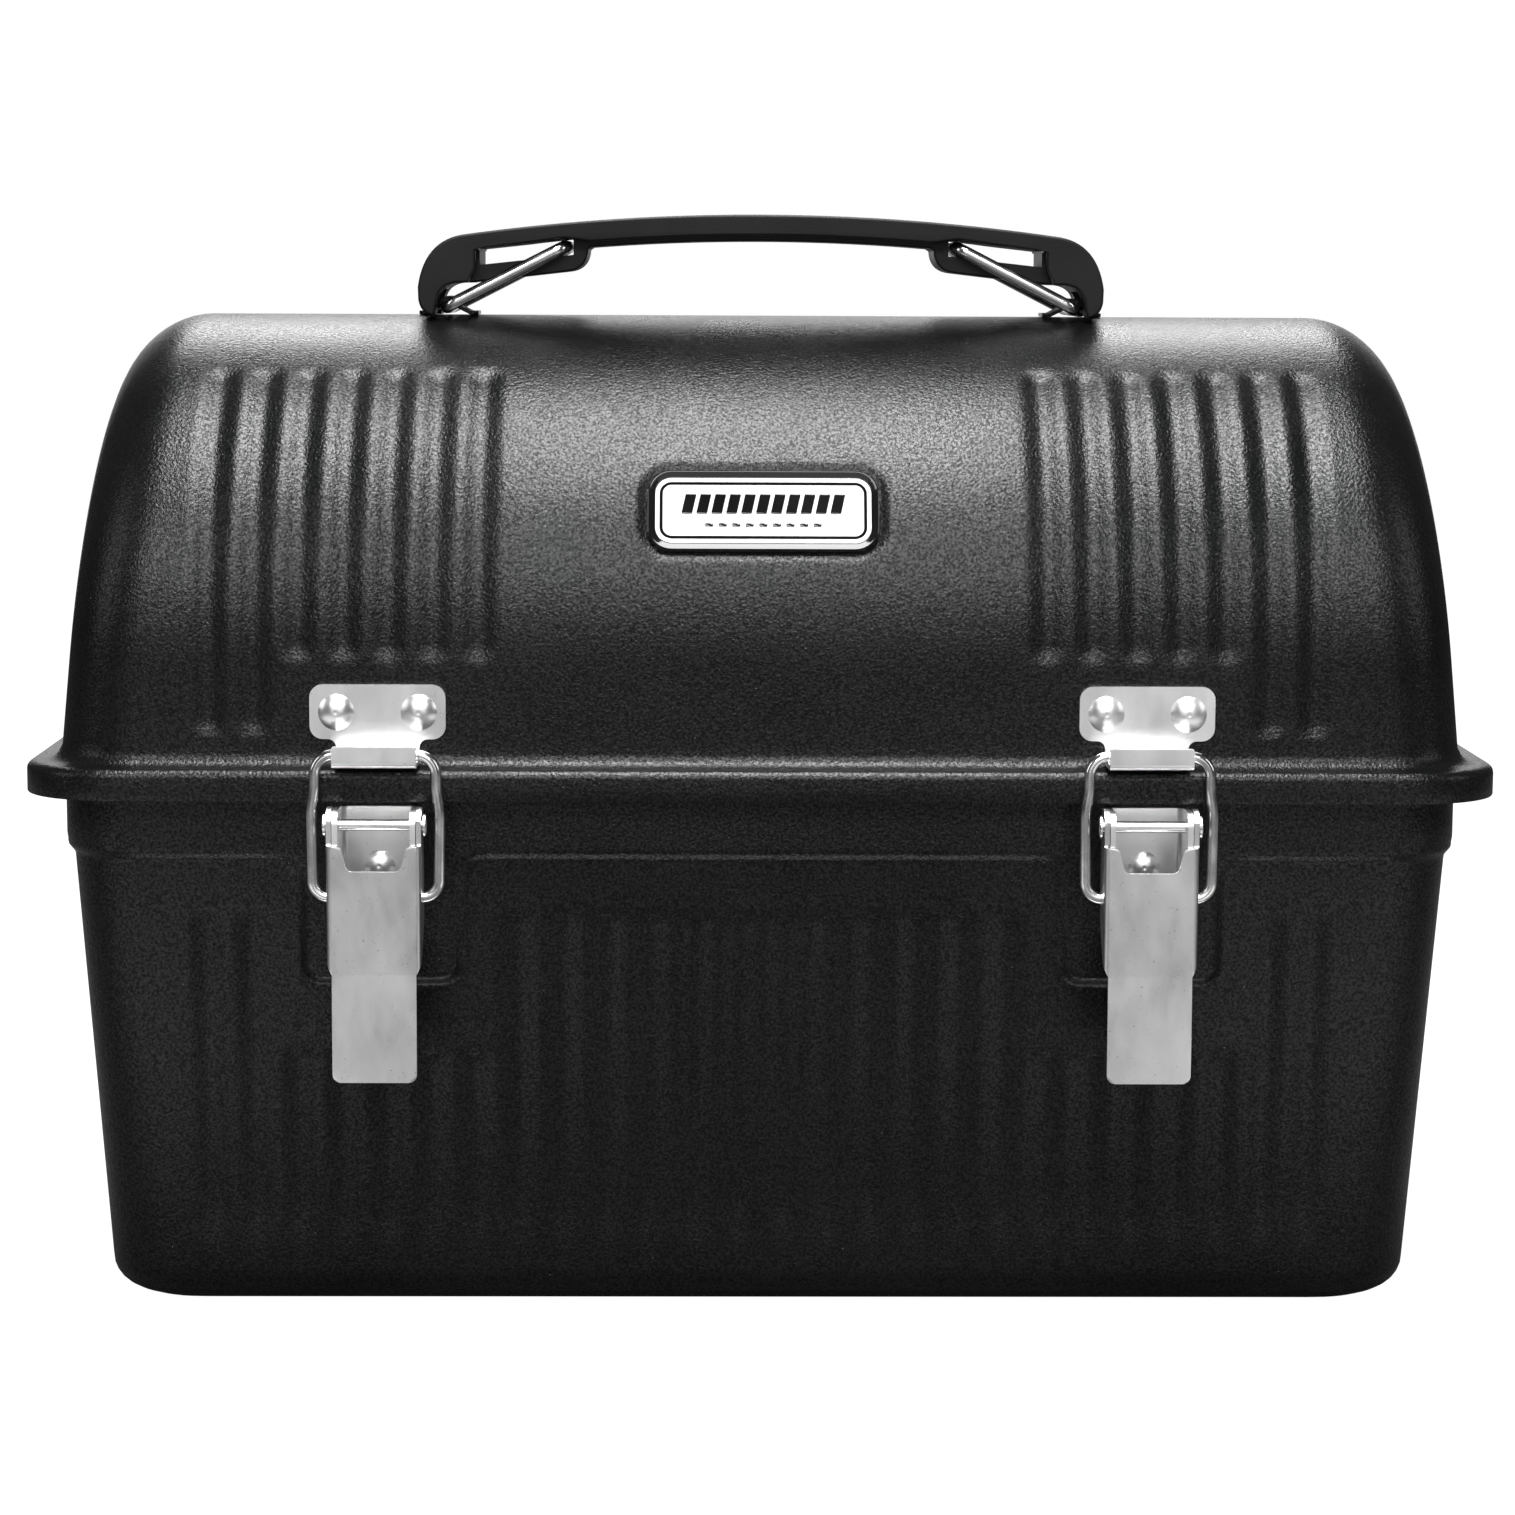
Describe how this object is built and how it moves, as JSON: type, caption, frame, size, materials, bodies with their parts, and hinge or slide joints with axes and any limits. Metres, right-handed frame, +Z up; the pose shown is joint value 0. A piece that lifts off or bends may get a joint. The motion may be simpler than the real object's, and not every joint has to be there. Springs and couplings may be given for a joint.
{
  "type": "metal lunch box",
  "caption": "Steel lunch box with a hinged barrel-shaped lid, wire draw latches on the front and a black handle that collapses onto the lid.",
  "frame": {"origin": "centre of the pan's underside, on the surface the box stands on", "axes": "+X along the box's length to the right as seen from the front, -Y out of the front where the latches are, +Z up"},
  "size_m": [0.33, 0.1787, 0.2476],
  "materials": {
    "black_paint": "fine-textured black powder coat",
    "plated_steel": "satin nickel-plated pressed steel",
    "steel_wire": "bright nickel-plated wire",
    "black_plastic": "moulded black plastic with a faint grain",
    "badge_black": "gloss black border",
    "badge_white": "gloss white enamel panel"
  },
  "bodies": {
    "pan": {"body_shell": "black_paint", "latch_base_left": "plated_steel", "lever_pin_left": "steel_wire", "base_rivet_left_upper": "plated_steel", "base_rivet_left_lower": "plated_steel", "hinge_body_leaf_left": "plated_steel", "hinge_pin_left": "steel_wire", "hinge_body_rivet_left_inner": "plated_steel", "hinge_body_rivet_left_outer": "plated_steel", "latch_base_right": "plated_steel", "lever_pin_right": "steel_wire", "base_rivet_right_upper": "plated_steel", "base_rivet_right_lower": "plated_steel", "hinge_body_leaf_right": "plated_steel", "hinge_pin_right": "steel_wire", "hinge_body_rivet_right_inner": "plated_steel", "hinge_body_rivet_right_outer": "plated_steel"},
    "lid": {"lid_shell": "black_paint", "badge_frame": "badge_black", "badge_panel": "badge_white", "handle_clip_left": "black_paint", "catch_plate_left": "plated_steel", "catch_rivet_left_inner": "plated_steel", "catch_rivet_left_outer": "plated_steel", "hinge_lid_leaf_left": "plated_steel", "hinge_lid_rivet_left_inner": "plated_steel", "hinge_lid_rivet_left_outer": "plated_steel", "handle_clip_right": "black_paint", "catch_plate_right": "plated_steel", "catch_rivet_right_inner": "plated_steel", "catch_rivet_right_outer": "plated_steel", "hinge_lid_leaf_right": "plated_steel", "hinge_lid_rivet_right_inner": "plated_steel", "hinge_lid_rivet_right_outer": "plated_steel"},
    "handle": {"handle_grip": "black_plastic"},
    "link_left": {"handle_link_left": "steel_wire"},
    "lever_left": {"latch_lever_left": "plated_steel"},
    "loop_left": {"latch_loop_left": "steel_wire"},
    "link_right": {"handle_link_right": "steel_wire"},
    "lever_right": {"latch_lever_right": "plated_steel"},
    "loop_right": {"latch_loop_right": "steel_wire"}
  },
  "joints": [
    {"name": "lid_hinge", "type": "hinge", "parent": "pan", "child": "lid", "pos_m": [0, 0.0853, 0.117], "axis": [-1, 0, 0], "range_deg": [0, 100]},
    {"name": "handle_lift", "type": "slide", "parent": "lid", "child": "handle", "axis": [0, 0, 1], "range_m": [0, 0.018]},
    {"name": "link_left_swing", "type": "hinge", "parent": "lid", "child": "link_left", "pos_m": [-0.0739, 0, 0.2258], "axis": [0, -1, 0], "range_deg": [0, 45.1]},
    {"name": "latch_left_lever", "type": "hinge", "parent": "pan", "child": "lever_left", "pos_m": [-0.085, -0.0862, 0.1138], "axis": [-1, 0, 0], "range_deg": [0, 90]},
    {"name": "latch_left_loop", "type": "hinge", "parent": "lever_left", "child": "loop_left", "pos_m": [-0.085, -0.0844, 0.0975], "axis": [-1, 0, 0], "range_deg": [-45.1, 0]},
    {"name": "link_right_swing", "type": "hinge", "parent": "lid", "child": "link_right", "pos_m": [0.0739, 0, 0.2258], "axis": [0, 1, 0], "range_deg": [0, 45.1]},
    {"name": "latch_right_lever", "type": "hinge", "parent": "pan", "child": "lever_right", "pos_m": [0.085, -0.0862, 0.1138], "axis": [-1, 0, 0], "range_deg": [0, 90]},
    {"name": "latch_right_loop", "type": "hinge", "parent": "lever_right", "child": "loop_right", "pos_m": [0.085, -0.0844, 0.0975], "axis": [-1, 0, 0], "range_deg": [-45.1, 0]}
  ],
  "couplings": [
    {"joint": "link_left_swing", "follows": "handle_lift", "rad_per_m": 43.633},
    {"joint": "latch_left_loop", "follows": "latch_left_lever", "ratio": -0.5},
    {"joint": "link_right_swing", "follows": "handle_lift", "rad_per_m": 43.633},
    {"joint": "latch_right_loop", "follows": "latch_right_lever", "ratio": -0.5}
  ]
}
